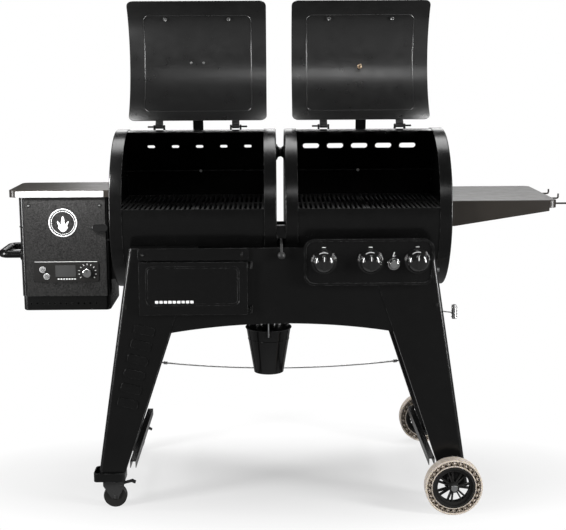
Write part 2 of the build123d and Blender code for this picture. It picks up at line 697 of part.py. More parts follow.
def auger_tube():
    """The feed tube from the hopper throat to the fire pot, open on top under the throat."""
    tube = rod((-656, 0, AUGER_Z), (POT_X - 51, 0, AUGER_Z), 30)
    tube -= rod((-657, 0, AUGER_Z), (POT_X - 40, 0, AUGER_Z), 28)
    return tube - block(-646, -594, -24, 24, AUGER_Z, AUGER_Z + 40)


def auger_motor():
    """Gearmotor behind the auger; its output bore carries the shaft end."""
    motor = block(-730, -660, -30, 30, 745, 805) + rod((-780, 0, AUGER_Z), (-729, 0, AUGER_Z), 24)
    return motor - rod((-666, 0, AUGER_Z), (-659, 0, AUGER_Z), 7 + FIT)


def combustion_fan():
    """Seven blades on a hub, over the pan's inlet."""
    z0, z1 = 650.0, 666.0
    fan = along_z(Pos(-780, 0) * Circle(14), z0, z1)
    for i in range(7):
        blade = Pos(27, 0, (z0 + z1) / 2) * Rot(32, 0, 0) * Box(30, 18, 1.6)
        fan += Pos(-780, 0, 0) * Rot(0, 0, i * 360 / 7) * blade
    return fan - rod((-780, 0, 640), (-780, 0, 670), 3 + FIT)


def fire_pot():
    """The burn cup at the end of the feed tube, with air holes round it."""
    x = POT_X
    pot = Pos(x, 0, 0) * (along_z(Circle(50), 722, 806) - along_z(Circle(47), 725, 807))
    for i in range(12):
        turn = math.radians(15 + 30 * i)
        pot -= rod((x, 0, 744), (x + 60 * math.cos(turn), 60 * math.sin(turn), 744), 3)
    pot -= rod((x - 60, 0, AUGER_Z), (x - 20, 0, AUGER_Z), 30.4)
    igniter = rod((x + 20, 0, 735), (x + 120, 0, 735), 5)
    return joined([pot - rod((x + 10, 0, 735), (x + 60, 0, 735), 5.5), igniter])


def heat_deflector():
    """The roof over the fire, with a slotted window for open-flame cooking."""
    x0, x1 = -548.0, -24.0
    roof = outline((-208, 842), (0, 872), (208, 842), (208, 839.8), (0, 869.8), (-208, 839.8))
    sheet = along_x(roof, x0, x1)
    for i in range(5):
        sheet -= block(-460 + i * 30.0, -448 + i * 30.0, -70, 70, 800, 900)
    for x in (x0, x1 - 3):
        for y in (-190, 190):
            foot = block(x, x + 3, y - 10, y + 10, 785, 842)
            sheet += foot & drum_slug(SHELL_BORE - 0.3, x0 - 5, x1 + 5)
    return sheet


def broiler_slider():
    """Slide plate over the roof's window, with a rod through the gap to a ball at the front."""
    z, front = 893.0, -FRAME_Y - 13.0
    slide = block(-480, -300, -116, 80, 884, 886)
    arm = block(-306, -4, -116, -104, 885, 893)
    bar = rod((0, front, z), (0, -100, z), 4) + block(-5, 4, -116, -104, 889, 895)
    drop = rod((0, front, z), (0, front, 864), 4) + ball((0, front, z), 4)
    return slide + arm + bar + drop + ball((0, front, 858), 12.5)


# ---------------------------------------------------------------- shelf, holder, bucket
def side_shelf():
    """Folded shelf: top, rolled edges, tapered brackets, drum flange and three welded tool hooks."""
    x0, x1, y0, y1 = SHELF
    slab = block(x0, x1, y0, y1, SHELF_Z - 26, SHELF_Z)
    slab = fillet(slab.edges().filter_by(Axis.Z).sort_by(Axis.X)[-2:], 26)
    slab = fillet(slab.faces().sort_by(Axis.Z)[-1].edges(), 4)
    well = block(x0 + SHEET, x1 - SHEET, y0 + SHEET, y1 - SHEET, SHELF_Z - 30, SHELF_Z - SHEET)
    well = fillet(well.edges().filter_by(Axis.Z).sort_by(Axis.X)[-2:], 24)
    shelf = slab - well
    taper = outline((x0, SHELF_Z - 5), (x1 - 26, SHELF_Z - 5), (x1 - 26, 983), (x0 + 8, 935), (x0, 935))
    for y in (y0, y1 - SHEET):
        shelf += along_y(taper, y, y + SHEET)
    flange = block(DRUM_OUT + 0.2, x0 + 1, y0, y1, 935, SHELF_Z)
    shelf += flange - block(DRUM_OUT, x0 + 4, y0 - 1, y1 + 1, SHELF_Z - 1, SHELF_Z + 5)
    z = 999.0
    for y in (-150, -8, 134):
        path = FilletPolyline((x1 - 1, y, z), (REACH - 3, y, z), (REACH - 3, y, z + 16), radius=6)
        shelf += sweep(Plane(origin=path @ 0, z_dir=path % 0) * Circle(3), path)
        shelf += rod((x1 - 1, y, z), (x1 + 3, y, z), 8)
    return shelf


def match_holder():
    """Wire arm on the right leg that ends in a coil for a lighting match."""
    y = -282.0
    arm = rod((528.7, y, 661), (561, y, 657), 2)
    coil = rod((567, y, 637), (565, y, 683), 8) - rod((567.2, y, 632), (564.8, y, 688), 5.5)
    return arm + coil


def grease_bucket():
    """A tapered pail with a rolled rim, a bead and two ears."""
    x, y = BUCKET
    top_r, base_r = 79.0, 52.0
    pail = Pos(x, y, (BUCKET_RIM + BUCKET_BASE) / 2) * Cone(base_r, top_r, BUCKET_RIM - BUCKET_BASE)
    hollow = Pos(x, y, (BUCKET_RIM + BUCKET_BASE) / 2 + 1.5) * Cone(
        base_r - 1.5, top_r - 1.5, BUCKET_RIM - BUCKET_BASE + 3)
    pail += Pos(x, y, BUCKET_RIM - 2) * Torus(top_r, 2.5)
    pail += Pos(x, y, BEAD_Z) * Torus(71.6, 1.6)
    pail -= hollow
    for side in (-1, 1):
        pail += rod((x, y + side * 75.8, EAR_Z), (x, y + side * 86, EAR_Z), 4)
    return pail


def bucket_bail():
    """The wire bail, from both ears up to the hook under the drum."""
    x, y = BUCKET
    half, low, knee = 89.0, EAR_Z - 6, 590.0
    path = FilletPolyline(
        (x, y - half, low), (x, y - half, knee), (x, y - 10, BAIL_Z),
        (x, y + 10, BAIL_Z), (x, y + half, knee), (x, y + half, low), radius=9)
    return sweep(Plane(origin=path @ 0, z_dir=path % 0) * Circle(BAIL_R), path)


# ---------------------------------------------------------------- running gear
def wheel_hub(side):
    """Spoked moulded hub: rim, seven pairs of spokes and a boss."""
    y0, y1 = -TYRE_W / 2, TYRE_W / 2
    ring = along_y(Circle(RIM_R) - Circle(RIM_R - 7), y0, y1)
    ring += along_y(Circle(RIM_R - 6) - Circle(RIM_R - 17), y0 + 8, y1 - 8)
    boss = along_y(Circle(17), y0, y1)
    hub = ring + boss
    for i in range(7):
        for skew in (-8, 8):
            hub += Rot(0, i * 360 / 7 + skew, 0) * Pos(35, 0, 0) * Box(42, 14, 4.5)
    hub -= along_y(Circle(AXLE_R + FIT), y0 - 1, y1 + 1)
    return Pos(WHEEL_X, side * WHEEL_Y, WHEEL_R) * hub


def wheel_tyre(side):
    ring = along_y(Circle(WHEEL_R) - Circle(RIM_R), -TYRE_W / 2, TYRE_W / 2)
    edges = [e for e in ring.edges() if e.length > 2 * math.pi * (WHEEL_R - 1)]
    return Pos(WHEEL_X, side * WHEEL_Y, WHEEL_R) * fillet(edges, 6)


def caster_fork(side):
    """Swivel fork: stem, bearing cup, crown and two cheeks with the wheel's axle."""
    x, y = CASTER_X, side * CASTER_Y
    axle_x = x + CASTER_TRAIL
    fork = rod((x, y, 90), (x, y, FOOT_Z + 10), 5) + rod((x, y, 88), (x, y, FOOT_Z - 0.4), 22)
    fork += block(x - 24, x + 46, y - 17, y + 17, 84, 88)
    cheek = outline((x - 24, 88), (x + 46, 88), (x + 46, 76),
                    (axle_x + 11, 32), (axle_x - 11, 32), (x - 24, 76))
    for y0 in (y - 17, y + 14):
        fork += along_y(cheek, y0, y0 + 3)
        fork -= rod((x + 38, y0 - 1, 80), (x + 38, y0 + 4, 80), 2.5 + FIT)
    fork += rod((axle_x, y - 20, CASTER_R), (axle_x, y + 20, CASTER_R), 4)
    return fork - rod((x + 38, y - 20, 80), (x + 38, y + 20, 80), 2.5 + FIT)


def caster_wheel(side):
    x, y = CASTER_X + CASTER_TRAIL, side * CASTER_Y
    wheel = along_y(Pos(x, CASTER_R) * Circle(CASTER_R), y - 12, y + 12)
    wheel = fillet(wheel.edges(), 4)
    wheel += along_y(Pos(x, CASTER_R) * Circle(12), y - 13.5, y + 13.5)
    return wheel - rod((x, y - 15, CASTER_R), (x, y + 15, CASTER_R), 4 + FIT)


def caster_brake(side):
    """Foot lever between the cheeks, on its own pin."""
    x, y = CASTER_X + 38, side * CASTER_Y
    lever = rod((x, y - 16.5, 80), (x, y + 16.5, 80), 2.5) + rod((x, y - 12, 80), (x, y + 12, 80), 3.2)
    pedal = outline((x - 3, 77.6), (x - 3, 80), (x + 34, 91), (x + 46, 84), (x + 44, 82), (x + 33, 87))
    return lever + along_y(pedal, y - 12, y + 12)


# ---------------------------------------------------------------- write every part
PLAIN_APRON = apron()
axle_hole = rod((WHEEL_X, -FRAME_Y - 9, WHEEL_R), (WHEEL_X, -FRAME_Y + 70, WHEEL_R), AXLE_R + 0.2)
caster_leg = to_left(leg(112, True)) - PLAIN_APRON
wheel_leg = leg(68, False) - PLAIN_APRON - axle_hole

save("leg_front_left", storage_window(caster_leg))
save("leg_front_right", stem_holes(wheel_leg))
save("rear_legs", to_back(joined([caster_leg, wheel_leg])))
save("front_apron", front_apron())
save("rear_apron", to_back(PLAIN_APRON))
save("side_rails", side_rails())
save("tie_rod", tie_rod())
save("smoker_drum", smoker_drum())
save("gas_drum", gas_drum())
save("drum_ends", drum_ends())
save("drum_saddles", drum_saddles())
save("barrel_spacers", barrel_spacers())
save("hinge_leaves", hinge_leaves())
save("cooking_grates", joined([to_left(grates()), grates()]))
save("heat_deflector", heat_deflector())
save("broiler_slider", broiler_slider())
save("fire_pot", fire_pot())
save("auger_tube", auger_tube())
save("auger_motor", auger_motor())
save("auger", auger())
save("combustion_fan", combustion_fan())
save("burner_tubes", burner_tubes())
save("heat_tents", heat_tents())
save("gas_manifold", gas_manifold())
save("gas_bezel", gas_bezel())
for name, x in zip(("left", "middle", "right"), BURNER_X):
    save(f"burner_knob_{name}", burner_knob(x))
save("igniter_button", igniter_button())
save("storage_box", storage_box())
save("storage_door", storage_door())
save("hopper_body", hopper_body())
save("hopper_front_panel", hopper_front_panel())
save("hopper_base_pan", hopper_base_pan())
save("hopper_lid", hopper_lid())
save("hopper_handle", hopper_handle())
save("control_panel", control_panel())
save("dial_knob", dial_knob())
for name, centre in BUTTONS.items():
    save(name, panel_button(centre))
save("side_shelf", side_shelf())
save("match_holder", match_holder())
save("grease_bucket", grease_bucket())
save("bucket_bail", bucket_bail())
save("bolts_and_screws", bolts_and_screws())
save("smoker_lid", to_left(opened(lid())))
save("smoker_lid_handle", to_left(opened(lid_handle())))
stem_hole = rod((DRUM_MID, *on_drum(THERMO_ANGLE, LID_BORE - 9)),
                (DRUM_MID, *on_drum(THERMO_ANGLE, LID_R + 9)), STEM_R + 0.2)
gas_lid = lid() - stem_hole
save("gas_lid", opened(gas_lid))
save("gas_lid_handle", opened(lid_handle()))
save("lid_thermometer", opened(thermometer()))
for name, side in (("front", -1), ("rear", 1)):
    save(f"wheel_hub_{name}", wheel_hub(side))
    save(f"wheel_tyre_{name}", wheel_tyre(side))
    save(f"caster_fork_{name}", caster_fork(side))
    save(f"caster_wheel_{name}", caster_wheel(side))
    save(f"caster_brake_{name}", caster_brake(side))
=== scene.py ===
# %% [markdown]
# # A two-drum outdoor cooker, finished for pictures
# The pellet smoker is the drum on the left, the gas grill the one on the right, and both
# stand on four splayed legs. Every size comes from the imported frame, in metres, with +Z up
# and the user standing at -Y. This notebook adds finishes, rounded edges and small parts.

# %% Load the frame
import json
import math
import bmesh
import bpy
from mathutils import Matrix, Vector


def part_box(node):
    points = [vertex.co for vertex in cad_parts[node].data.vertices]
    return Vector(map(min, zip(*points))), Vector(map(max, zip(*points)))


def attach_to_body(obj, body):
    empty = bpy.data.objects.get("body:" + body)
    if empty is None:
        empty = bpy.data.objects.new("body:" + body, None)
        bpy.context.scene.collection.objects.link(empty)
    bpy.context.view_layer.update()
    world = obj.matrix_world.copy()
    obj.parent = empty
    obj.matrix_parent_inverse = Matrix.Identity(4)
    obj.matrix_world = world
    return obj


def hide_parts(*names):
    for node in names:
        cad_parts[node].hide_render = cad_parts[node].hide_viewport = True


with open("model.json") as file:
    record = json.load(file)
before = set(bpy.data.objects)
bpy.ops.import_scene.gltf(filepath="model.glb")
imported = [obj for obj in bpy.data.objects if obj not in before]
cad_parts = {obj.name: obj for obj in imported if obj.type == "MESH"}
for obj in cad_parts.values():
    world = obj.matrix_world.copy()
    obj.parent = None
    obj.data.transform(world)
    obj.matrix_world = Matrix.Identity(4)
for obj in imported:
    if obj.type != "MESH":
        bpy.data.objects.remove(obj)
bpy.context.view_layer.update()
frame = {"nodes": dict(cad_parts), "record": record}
print("CAD nodes:", len(frame["nodes"]))

# %% [markdown]
# ## The camera
# A cooker like this is shown from the front, from head height and a little to the left of
# its middle, with a long lens so that its legs keep their true slope. The camera is turned
# by its three axes, because a look-at constraint could not hold the small roll.

# %% Camera
EYE = Vector((-0.0387, -4.0197, 1.4843))
TURN, TILT, ROLL = 0.0117, -0.176, -0.0056     # radians: right, down, round the view axis
SENSOR, LENS = 36.0, 74.23                     # millimetres

ahead = Vector((math.sin(TURN) * math.cos(TILT), math.cos(TURN) * math.cos(TILT), math.sin(TILT)))
level = Vector((math.cos(TURN), -math.sin(TURN), 0))
above = level.cross(ahead)
across = level * math.cos(ROLL) + above * math.sin(ROLL)
upward = above * math.cos(ROLL) - level * math.sin(ROLL)
lens = bpy.data.cameras.new("camera")
lens.sensor_width, lens.lens = SENSOR, LENS
camera = bpy.data.objects.new("camera", lens)
camera.matrix_world = Matrix.Translation(EYE) @ Matrix((across, upward, -ahead)).transposed().to_4x4()
bpy.context.scene.collection.objects.link(camera)
bpy.context.scene.camera = camera
print("camera", tuple(round(v, 3) for v in camera.location))

# %% [markdown]
# ## Finishes as expressions
# A finish is a few masks mixed into a principled shader. Wire wraps a socket, so a mask is
# written as a sum, and Finish.node adds every other kind of node. Patterns read Object
# coordinates: each part's place is in its mesh, so they stay put at the real scale.

# %% Shader helpers
class Wire:
    """An output socket that can be used in arithmetic."""

    def __init__(self, finish, socket):
        self.finish, self.socket = finish, socket

    def math(self, operation, first, second):
        return self.finish.node("Math", {"operation": operation}, {0: first, 1: second})

    def __add__(self, other):
        return self.math("ADD", self, other)

    def __sub__(self, other):
        return self.math("SUBTRACT", self, other)

    def __rsub__(self, other):
        return self.math("SUBTRACT", other, self)

    def __mul__(self, other):
        return self.math("MULTIPLY", self, other)

    __radd__, __rmul__ = __add__, __mul__


class Finish:
    """A material under construction, with its numbers set on the principled shader."""

    def __init__(self, name, **settings):
        self.material = bpy.data.materials.new(name)
        self.material.use_nodes = True
        self.tree = self.material.node_tree
        self.shader = self.tree.nodes["Principled BSDF"]
        for key, value in settings.items():
            self.shader.inputs[key.replace("_", " ").title().replace("Ior", "IOR")].default_value = value
        self.place = self.node("TexCoord", {}, {}, "Object")

    def node(self, kind, settings, sockets, output=0):
        made = self.tree.nodes.new("ShaderNode" + kind)
        for key, value in settings.items():
            if key == "stops":
                made.color_ramp.elements[0].position, made.color_ramp.elements[1].position = value
            else:
                setattr(made, key, value)
        for key, value in sockets.items():
            if isinstance(value, Wire):
                self.tree.links.new(value.socket, made.inputs[key])
            else:
                made.inputs[key].default_value = value
        return Wire(self, made.outputs[output])

    def noise(self, scale, detail=3.0, output="Fac"):
        return self.node("TexNoise", {}, {"Vector": self.place, "Scale": scale, "Detail": detail}, output)

    def sharpen(self, wire, low, high):
        return self.node("ValToRGB", {"stops": (low, high)}, {"Fac": wire})

    def mix(self, mask, first, second):
        sockets = {0: mask, 6: first, 7: second}
        return self.node("Mix", {"data_type": "RGBA"}, sockets, 2)

    def feed(self, **wires):
        for key, wire in wires.items():
            self.tree.links.new(wire.socket, self.shader.inputs[key.replace("_", " ").title()])

    def bump(self, height, depth):
        made = self.node("Bump", {}, {"Height": height, "Distance": depth}, "Normal")
        self.feed(normal=made)


def grey(value, warm=0.0):
    """A near-neutral colour, a little warmer with warm above 0."""
    return (value * (1 + warm), value, value * (1 - warm), 1.0)


print("shader helpers ready")

# %% [markdown]
# ## Paints
# Powder coat is melted powder: a gloss or satin skin with a fine orange peel, a few specks,
# and a thin grey line on sharp edges that is partly rubbed paint and partly a painted highlight.
# The edge is found by comparing a rounded normal with the true one, which works on any part
# without painting it by hand.

# %% Powder coats
FINISHES = {}


def powder_coat(name, shade, rough, gloss, peel=0.00005, warm=0.0, rub_and_highlight=0.5):
    paint = Finish(name, roughness=rough, specular_ior_level=gloss)
    cloud = paint.noise(3.5)
    speck = paint.sharpen(paint.noise(420, 2), 0.62, 0.72)
    body = paint.mix(cloud, grey(shade * 0.75, warm), grey(shade * 1.35, warm))
    body = paint.mix(speck * 0.25, body, grey(shade * 3 + 0.02, warm))
    rounded = paint.node("Bevel", {"samples": 4}, {"Radius": 0.0022}, "Normal")
    flat = paint.node("NewGeometry", {}, {}, "Normal")
    facing = paint.node("VectorMath", {"operation": "DOT_PRODUCT"}, {0: rounded, 1: flat}, "Value")
    edge = paint.sharpen(1 - facing, 0.03, 0.22)
    # the edge line: partly rubbed paint, partly a painted highlight along the edge
    edge_rub_and_highlight = edge * paint.sharpen(paint.noise(60, 4), 0.42, 0.62) * rub_and_highlight
    paint.feed(base_color=paint.mix(edge_rub_and_highlight, body, grey(0.16, warm)))
    paint.feed(roughness=paint.noise(26, 4) * 0.16 + (rough - 0.08))
    paint.bump(paint.noise(700, 1) + paint.noise(160, 1) * 0.6, peel)
    FINISHES[name] = paint.material


powder_coat("black_paint", 0.0026, 0.24, 0.34)
powder_coat("lid_paint", 0.0070, 0.30, 0.95)
powder_coat("shelf_paint", 0.013, 0.33, 0.40, warm=0.18)
powder_coat("steel_dark", 0.02, 0.45, 0.3)
print("powder coats:", list(FINISHES))

# %% [markdown]
# The hopper's front has a hammered coat: pigment that crawls into light and dark cells a
# millimetre or two across. A cell texture gives the islands and their dished relief.

# %% Hammered coat
hammered = Finish("hammered_paint", roughness=0.45, specular_ior_level=0.2)
cells = hammered.node("TexVoronoi", {}, {"Vector": hammered.place, "Scale": 420.0}, "Distance")
drift = hammered.noise(170, 5)
crawl = hammered.sharpen(cells * 0.6 + drift * 0.7, 0.42, 0.86)
hammered.feed(base_color=hammered.mix(crawl, grey(0.002), grey(0.030, 0.02)))
hammered.feed(roughness=crawl * 0.25 + 0.33)
hammered.bump(cells + drift, 0.0005)
FINISHES["hammered_paint"] = hammered.material


# %% [markdown]
# ## Metals, plastics and rubber
# Bare metal is told apart by its grain: fine streaks on drawn rod, clouds and dull spots on
# aluminised sheet, pits on cast iron. Plastics keep a soft mould texture, and the tyre's
# milky rubber lets light through, so it gets some subsurface scattering.

# %% Metals
def metal(name, shade, rough, grain=(1, 1, 1), relief=0.00003, metallic=1.0, warm=0.0):
    made = Finish(name, metallic=metallic, roughness=rough)
    stretched = made.node("Mapping", {}, {"Vector": made.place, "Scale": grain}, "Vector")
    streak = made.node("TexNoise", {}, {"Vector": stretched, "Scale": 300.0, "Detail": 4.0}, "Fac")
    cloud = made.sharpen(made.noise(14, 5), 0.35, 0.7)
    tone = made.mix(cloud * 0.6, grey(shade, warm), grey(shade * 0.62, warm))
    made.feed(base_color=tone, roughness=streak * 0.2 + cloud * 0.12 + (rough - 0.14))
    made.bump(streak, relief)
    FINISHES[name] = made.material


metal("steel", 0.55, 0.3, grain=(1, 0.08, 1))
metal("aluminised_steel", 0.34, 0.45, relief=0.0001)
metal("chrome", 0.82, 0.14, relief=0.000004)
metal("brass", 0.5, 0.3, warm=0.3)
# bright_trim is the tone of the hopper lid's front strip, a painted highlight on that edge
metal("bright_trim", 0.48, 0.34, grain=(0.05, 1, 1), metallic=0.35)
metal("cast_iron", 0.018, 0.6, relief=0.0006, metallic=0.0)
print("metals ready")

# %% Plastics, enamel and rubber
def plastic(name, shade, rough, relief=0.00004, warm=0.0, **settings):
    made = Finish(name, roughness=rough, **settings)
    cloud = made.noise(18, 4)
    made.feed(base_color=made.mix(cloud, grey(shade * 0.7, warm), grey(shade * 1.3, warm)))
    made.feed(roughness=cloud * 0.12 + max(rough - 0.06, 0.02))
    made.bump(made.noise(900, 1), relief)
    FINISHES[name] = made.material


plastic("gloss_black", 0.006, 0.09, relief=0.000004, coat_weight=1.0, coat_roughness=0.04)
plastic("bucket_enamel", 0.008, 0.16, relief=0.00002, coat_weight=0.3, coat_roughness=0.08,
        specular_ior_level=0.3)
plastic("black_plastic", 0.010, 0.5, relief=0.0001, warm=0.05, specular_ior_level=0.25)
plastic("grey_plastic", 0.3, 0.4)
plastic("white_print", 0.75, 0.5)
plastic("screen_glass", 0.05, 0.12, relief=0.000002, coat_weight=0.5)
plastic("tyre", 0.42, 0.36, relief=0.0002, warm=0.13, subsurface_weight=0.5, subsurface_scale=0.004,
        subsurface_radius=(1.0, 1.0, 0.8))
plastic("tyre_web", 0.16, 0.4, relief=0.0002, warm=0.22)
print("finishes:", len(FINISHES))

# %% [markdown]
# ## Dressing the CAD parts
# The record already says which finish each part has, so the slots are read from it. A part
# whose shape is right stays as it is and only gets that finish.

# %% Finish every CAD node
SLOTS = {part["node"]: part["material_slot"] for part in frame["record"]["subparts"]}
BODY_OF = {node: body for body, nodes in frame["record"]["behaviour"]["bodies"].items() for node in nodes}
for name, node in frame["nodes"].items():
    node.data.materials.clear()
    node.data.materials.append(FINISHES[SLOTS[name]])
print("finished", len(SLOTS), "nodes")

# %% [markdown]
# ## Rounded edges
# Pressed sheet never ends in a razor edge: paint pulls back and leaves a small radius, and
# that radius is what catches the light. A copy of the CAD part is welded, its flat facets
# are joined, and a bevel modifier rounds what is sharper than 30 degrees.

# %% Copy and round a CAD part
def only(piece):
    """Select one object and nothing else."""
    bpy.ops.object.select_all(action="DESELECT")
    piece.select_set(True)
    bpy.context.view_layer.objects.active = piece


def edit(*steps):
    """Run edit-mode operators on all of the active mesh."""
    bpy.ops.object.mode_set(mode="EDIT")
    bpy.ops.mesh.select_all(action="SELECT")
    for step in steps:
        step()
    bpy.ops.object.mode_set(mode="OBJECT")


def apply(kind, **settings):
    """Add a modifier to the active object and apply it."""
    modifier = bpy.context.object.modifiers.new(kind.title(), kind)
    for key, value in settings.items():
        setattr(modifier, key, value)
    bpy.ops.object.modifier_apply(modifier=modifier.name)


def rounded_edges(width, steps=2, sharp=30):
    apply("BEVEL", width=width, segments=steps, limit_method="ANGLE", angle_limit=math.radians(sharp))
    bpy.ops.object.shade_smooth_by_angle(angle=math.radians(35))
    apply("WEIGHTED_NORMAL", keep_sharp=True)


def attach(piece, body, slot, *replaced):
    """Give a piece its finish and its body."""
    piece.data.materials.clear()
    piece.data.materials.append(FINISHES[slot])
    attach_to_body(piece, body)
    if replaced:
        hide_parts(*replaced)
    return piece


def softened(node, width=0.0007, steps=2):
    """A CAD part copied, welded and given rounded edges; it stands for the CAD node."""
    only(frame["nodes"][node])
    bpy.ops.object.duplicate()
    piece = bpy.context.object
    piece.name = node + "_rounded"
    piece.parent = None
    for key in list(piece.keys()):
        del piece[key]
    edit(lambda: bpy.ops.mesh.remove_doubles(threshold=0.00001),
         lambda: bpy.ops.mesh.dissolve_limited(angle_limit=math.radians(0.6)))
    rounded_edges(width, steps)
    return attach(piece, BODY_OF[node], SLOTS[node], node)



# bevel width of each part, in metres
ROUNDED = {
    "leg_front_left": 0.0009, "leg_front_right": 0.0009, "rear_legs": 0.0009, "front_apron": 0.0006,
    "gas_bezel": 0.0036, "storage_door": 0.0016, "side_shelf": 0.0006, "hopper_lid": 0.0028,
    "hopper_front_panel": 0.0008, "hopper_base_pan": 0.0006, "control_panel": 0.0010,
    "drum_ends": 0.0006, "smoker_lid": 0.0006, "gas_lid": 0.0006, "barrel_spacers": 0.0010,
    "caster_fork_front": 0.0008, "caster_fork_rear": 0.0008, "caster_wheel_front": 0.0010,
    "caster_wheel_rear": 0.0010, "caster_brake_front": 0.0008, "caster_brake_rear": 0.0008,
    "wheel_hub_front": 0.0014, "wheel_hub_rear": 0.0014, "cooking_grates": 0.0012,
    "smoker_lid_handle": 0.0010, "gas_lid_handle": 0.0010, "broiler_slider": 0.0006,
    "burner_knob_left": 0.0010, "burner_knob_middle": 0.0010, "burner_knob_right": 0.0010,
    "bolts_and_screws": 0.0007, "dial_knob": 0.0008, "lid_thermometer": 0.0010,
}
for node, width in ROUNDED.items():
    softened(node, width, 4 if width > 0.003 else 2)
print("rounded", len(ROUNDED), "parts")

# %% [markdown]
# ## Tools for the small parts
# Each small part starts as a primitive at its place and is shaped in edit mode. Faces and
# edges are picked in code by a test, because there is no mouse here.

# %% Modelling helpers
def fresh(name, maker, **settings):
    """Add a primitive with nothing else selected, and name it."""
    bpy.ops.object.select_all(action="DESELECT")
    maker(**settings)
    piece = bpy.context.object
    piece.name = name
    bpy.ops.object.transform_apply(location=True, rotation=True, scale=True)
    return piece


def pick(kind, test):
    """Select only the faces or edges of the edited mesh that pass a test."""
    bpy.ops.mesh.select_mode(type={"verts": "VERT", "edges": "EDGE", "faces": "FACE"}[kind])
    bpy.ops.mesh.select_all(action="DESELECT")
    mesh = bmesh.from_edit_mesh(bpy.context.object.data)
    for item in getattr(mesh, kind):
        if test(item):
            item.select_set(True)
    mesh.select_flush_mode()
    bmesh.update_edit_mesh(bpy.context.object.data)


def plate(name, low, high, corner, edge, axis=1):
    """A block whose four edges along one axis have a large radius and the rest a small one."""
    middle = [(a + b) / 2 for a, b in zip(low, high)]
    extent = [abs(b - a) for a, b in zip(low, high)]
    piece = fresh(name, bpy.ops.mesh.primitive_cube_add, size=1, location=middle, scale=extent)
    bpy.ops.object.mode_set(mode="EDIT")
    pick("edges", lambda e: abs((e.verts[0].co - e.verts[1].co).normalized()[axis]) > 0.9)
    bpy.ops.mesh.bevel(offset=corner, segments=7, affect="EDGES")
    bpy.ops.object.mode_set(mode="OBJECT")
    rounded_edges(edge)
    return piece


def bar(name, start, end, radius, sides=20, edge=0.3):
    """A round bar between two points, with softened ends."""
    start, end = Vector(start), Vector(end)
    turn = (end - start).to_track_quat("Z", "Y").to_euler()
    piece = fresh(name, bpy.ops.mesh.primitive_cylinder_add, vertices=sides, radius=radius,
                  depth=(end - start).length, location=(start + end) / 2, rotation=turn)
    rounded_edges(radius * edge)
    return piece


def ring(name, centre, facing, radius, thick, around=48, section=10):
    turn = Vector(facing).to_track_quat("Z", "Y").to_euler()
    piece = fresh(name, bpy.ops.mesh.primitive_torus_add, major_radius=radius, minor_radius=thick,
                  major_segments=around, minor_segments=section, location=centre, rotation=turn)
    bpy.ops.object.shade_smooth()
    return piece


def joined(name, pieces):
    """Join pieces into one object, each part still its own shell."""
    bpy.ops.object.select_all(action="DESELECT")
    for piece in pieces:
        piece.select_set(True)
    bpy.context.view_layer.objects.active = pieces[0]
    if len(pieces) > 1:
        bpy.ops.object.join()
    pieces[0].name = name
    return pieces[0]


def screw(centre, facing, radius):
    """A button-head screw: a low round head with softened edges and a sunk socket."""
    head = fresh("screw", bpy.ops.mesh.primitive_cylinder_add, vertices=24, radius=radius,
                 depth=radius * 0.7)
    bpy.ops.object.mode_set(mode="EDIT")
    pick("faces", lambda f: f.normal.z > 0.9)
    bpy.ops.mesh.inset(thickness=radius * 0.5)
    bpy.ops.mesh.extrude_region_move(TRANSFORM_OT_translate={"value": (0, 0, -radius * 0.35)})
    bpy.ops.object.mode_set(mode="OBJECT")
    rounded_edges(radius * 0.16)
    head.rotation_euler = Vector(facing).to_track_quat("Z", "Y").to_euler()
    head.location = centre
    bpy.ops.object.transform_apply(location=True, rotation=True, scale=True)
    return head


FRONT = (0, -1, 0)
print("modelling helpers ready")

# %% [markdown]
# ## Lids
# A lid is one rolled sheet. A bead is pressed round its middle to stop it drumming, seen
# here from the inside. Bending a flat bead would stretch it, so the bead is a curve laid
# straight on the lid's cylinder: angle round the lid stands in for height.

# %% Pressed bead and screws of each lid
lid_low, lid_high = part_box("smoker_lid")
LID_AXIS_Y, LID_AXIS_Z, LID_INSIDE = -0.0853, 1.4837, 0.2710
LID_MIDDLE = 0.286      # distance of each lid's middle from the middle of the cooker


def on_lid(x, angle, radius=LID_INSIDE):
    turn = math.radians(angle)
    return Vector((x, LID_AXIS_Y + radius * math.cos(turn), LID_AXIS_Z + radius * math.sin(turn)))


def lid_bead(name, side, half_width, low, high, corner):
    """A closed round-cornered loop on the lid's inner face."""
    span = math.radians(high - low) * LID_INSIDE
    places = []
    for cx, cs, start in ((1, 1, 0), (-1, 1, 90), (-1, -1, 180), (1, -1, 270)):
        for step in range(7):
            turn = math.radians(start + step * 15)
            x = cx * (half_width - corner) + corner * math.cos(turn)
            rise = cs * (span / 2 - corner) + corner * math.sin(turn)
            places.append((side * LID_MIDDLE + x, (low + high) / 2 + math.degrees(rise / LID_INSIDE)))
    points = []
    for here, beyond in zip(places, places[1:] + places[:1]):
        parts = max(2, round(abs(beyond[1] - here[1]) / 2.5))
        points += [on_lid(*(a + (b - a) * n / parts for a, b in zip(here, beyond))) for n in range(parts)]
    path = bpy.data.curves.new(name, "CURVE")
    path.dimensions, path.bevel_depth, path.bevel_resolution = "3D", 0.0022, 3
    path.resolution_u, path.use_fill_caps = 4, False
    spline = path.splines.new("NURBS")
    spline.points.add(len(points) - 1)
    for knot, point in zip(spline.points, points):
        knot.co = (*point, 1)
    spline.use_cyclic_u, spline.order_u = True, 3
    bead = bpy.data.objects.new(name, path)
    bpy.context.scene.collection.objects.link(bead)
    only(bead)
    bpy.ops.object.convert(target="MESH")
    bpy.ops.object.shade_smooth()
    return bpy.context.object


